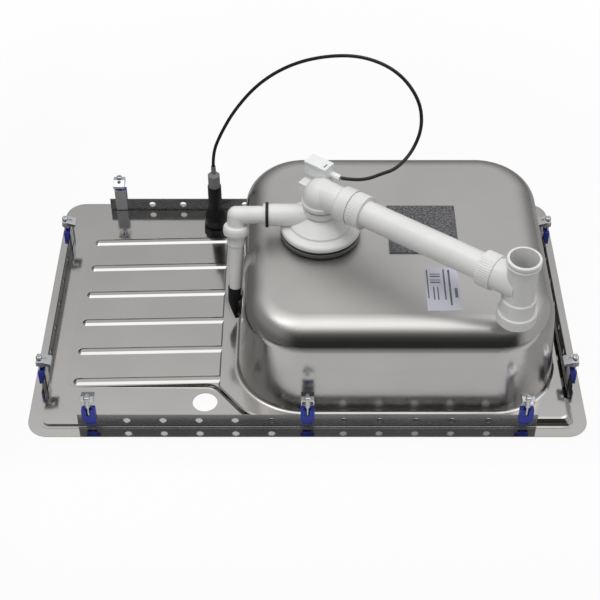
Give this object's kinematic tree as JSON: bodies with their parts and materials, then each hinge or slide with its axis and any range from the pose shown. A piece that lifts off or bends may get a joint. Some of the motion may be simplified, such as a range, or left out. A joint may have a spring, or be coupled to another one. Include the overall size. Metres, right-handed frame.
{
  "type": "inset kitchen sink",
  "caption": "Inset stainless steel sink with ridged drainer, deep bowl, edge clamps, white waste and overflow pipework and a cable-worked basket plug.",
  "frame": {"origin": "middle of the worktop cut-out, in the plane of the worktop that the rim rests on", "axes": "+X along the sink from the drainer to the bowl, +Y towards the control, +Z out of the underside; the sink lies face down"},
  "size_m": [0.78, 0.5, 0.3764],
  "materials": {
    "steel": "fine brushed sheet, satin",
    "strip_steel": "bright cold-rolled strip",
    "zinc": "bright zinc plate",
    "blue_plastic": "moulded, slight sheen",
    "bright_steel": "polished",
    "white_plastic": "moulded, soft sheen",
    "clear_plastic": "milky translucent moulding",
    "white_lever": "moulded",
    "black_rubber": "matt",
    "cable_jacket": "smooth extruded jacket",
    "black_plastic": "moulded, satin",
    "grey_plastic": "moulded, satin",
    "chrome": "polished",
    "pad": "speckled bitumen sheet",
    "label": "paper"
  },
  "bodies": {
    "sink": {"sink_deck": "steel", "sink_bowl": "steel", "strips_long": "strip_steel", "strips_short": "strip_steel", "clamp_plates": "zinc", "clamp_holders": "blue_plastic", "strainer_cup": "bright_steel", "overflow_grille": "bright_steel", "waste_body": "white_plastic", "neck_ring": "white_plastic", "outlet_elbow": "white_plastic", "elbow_plug": "white_plastic", "union_nuts": "white_plastic", "outlet_pipe": "white_plastic", "outlet_tee": "white_plastic", "tee_cap": "white_plastic", "overflow_elbow": "white_plastic", "overflow_nut": "white_plastic", "overflow_pipe": "white_plastic", "lever_housing": "clear_plastic", "cable_sleeve": "clear_plastic", "waste_gasket": "black_rubber", "pipe_washers": "black_rubber", "overflow_ring": "black_rubber", "overflow_gasket": "black_rubber", "control_gasket": "black_rubber", "bowden_cable": "cable_jacket", "overflow_fitting": "black_plastic", "control_body": "black_plastic", "control_lock_nut": "black_plastic", "control_gland": "grey_plastic", "control_rosette": "chrome", "sound_pad": "pad", "paper_label": "label"},
    "knob": {"control_knob": "chrome", "control_spindle": "black_plastic"},
    "plug": {"strainer_basket": "bright_steel", "plug_seal": "black_rubber", "lift_pin": "bright_steel"},
    "lever": {"lift_lever": "white_lever"},
    "screw_01": {"clamp_screw_01": "zinc"},
    "claw_01": {"claw_01": "zinc"},
    "screw_02": {"clamp_screw_02": "zinc"},
    "claw_02": {"claw_02": "zinc"},
    "screw_03": {"clamp_screw_03": "zinc"},
    "claw_03": {"claw_03": "zinc"},
    "screw_04": {"clamp_screw_04": "zinc"},
    "claw_04": {"claw_04": "zinc"},
    "screw_05": {"clamp_screw_05": "zinc"},
    "claw_05": {"claw_05": "zinc"},
    "screw_06": {"clamp_screw_06": "zinc"},
    "claw_06": {"claw_06": "zinc"},
    "screw_07": {"clamp_screw_07": "zinc"},
    "claw_07": {"claw_07": "zinc"},
    "screw_08": {"clamp_screw_08": "zinc"},
    "claw_08": {"claw_08": "zinc"},
    "screw_09": {"clamp_screw_09": "zinc"},
    "claw_09": {"claw_09": "zinc"},
    "screw_10": {"clamp_screw_10": "zinc"},
    "claw_10": {"claw_10": "zinc"}
  },
  "joints": [
    {"name": "knob_turn", "type": "hinge", "parent": "sink", "child": "knob", "pos_m": [-0.1445, 0.1885, 0], "axis": [0, 0, 1], "range_deg": [0, 90]},
    {"name": "plug_rise", "type": "slide", "parent": "sink", "child": "plug", "axis": [0, 0, -1], "range_m": [0, 0.00816]},
    {"name": "lever_turn", "type": "hinge", "parent": "sink", "child": "lever", "pos_m": [0.00894, 0.01158, 0.2295], "axis": [0.6018, 0.7986, 0], "range_deg": [0, 36]},
    {"name": "screw_01_travel", "type": "slide", "parent": "sink", "child": "screw_01", "axis": [0, 0, -1], "range_m": [0, 0.012]},
    {"name": "claw_01_swing", "type": "hinge", "parent": "screw_01", "child": "claw_01", "pos_m": [-0.3, -0.2376, 0], "axis": [0, 0, 1], "range_deg": [0, 180]},
    {"name": "screw_02_travel", "type": "slide", "parent": "sink", "child": "screw_02", "axis": [0, 0, -1], "range_m": [0, 0.012]},
    {"name": "claw_02_swing", "type": "hinge", "parent": "screw_02", "child": "claw_02", "pos_m": [0, -0.2376, 0], "axis": [0, 0, 1], "range_deg": [0, 180]},
    {"name": "screw_03_travel", "type": "slide", "parent": "sink", "child": "screw_03", "axis": [0, 0, -1], "range_m": [0, 0.012]},
    {"name": "claw_03_swing", "type": "hinge", "parent": "screw_03", "child": "claw_03", "pos_m": [0.3, -0.2376, 0], "axis": [0, 0, 1], "range_deg": [0, 180]},
    {"name": "screw_04_travel", "type": "slide", "parent": "sink", "child": "screw_04", "axis": [0, 0, -1], "range_m": [0, 0.012]},
    {"name": "claw_04_swing", "type": "hinge", "parent": "screw_04", "child": "claw_04", "pos_m": [-0.3, 0.2376, 0], "axis": [0, 0, 1], "range_deg": [0, 180]},
    {"name": "screw_05_travel", "type": "slide", "parent": "sink", "child": "screw_05", "axis": [0, 0, -1], "range_m": [0, 0.012]},
    {"name": "claw_05_swing", "type": "hinge", "parent": "screw_05", "child": "claw_05", "pos_m": [0, 0.2376, 0], "axis": [0, 0, 1], "range_deg": [0, 180]},
    {"name": "screw_06_travel", "type": "slide", "parent": "sink", "child": "screw_06", "axis": [0, 0, -1], "range_m": [0, 0.012]},
    {"name": "claw_06_swing", "type": "hinge", "parent": "screw_06", "child": "claw_06", "pos_m": [0.3, 0.2376, 0], "axis": [0, 0, 1], "range_deg": [0, 180]},
    {"name": "screw_07_travel", "type": "slide", "parent": "sink", "child": "screw_07", "axis": [0, 0, -1], "range_m": [0, 0.012]},
    {"name": "claw_07_swing", "type": "hinge", "parent": "screw_07", "child": "claw_07", "pos_m": [-0.3776, -0.15, 0], "axis": [0, 0, 1], "range_deg": [0, 180]},
    {"name": "screw_08_travel", "type": "slide", "parent": "sink", "child": "screw_08", "axis": [0, 0, -1], "range_m": [0, 0.012]},
    {"name": "claw_08_swing", "type": "hinge", "parent": "screw_08", "child": "claw_08", "pos_m": [-0.3776, 0.15, 0], "axis": [0, 0, 1], "range_deg": [0, 180]},
    {"name": "screw_09_travel", "type": "slide", "parent": "sink", "child": "screw_09", "axis": [0, 0, -1], "range_m": [0, 0.012]},
    {"name": "claw_09_swing", "type": "hinge", "parent": "screw_09", "child": "claw_09", "pos_m": [0.3776, -0.15, 0], "axis": [0, 0, 1], "range_deg": [0, 180]},
    {"name": "screw_10_travel", "type": "slide", "parent": "sink", "child": "screw_10", "axis": [0, 0, -1], "range_m": [0, 0.012]},
    {"name": "claw_10_swing", "type": "hinge", "parent": "screw_10", "child": "claw_10", "pos_m": [0.3776, 0.15, 0], "axis": [0, 0, 1], "range_deg": [0, 180]}
  ],
  "couplings": [
    {"joint": "plug_rise", "follows": "knob_turn", "m_per_rad": 0.005193},
    {"joint": "lever_turn", "follows": "knob_turn", "ratio": 0.4}
  ]
}
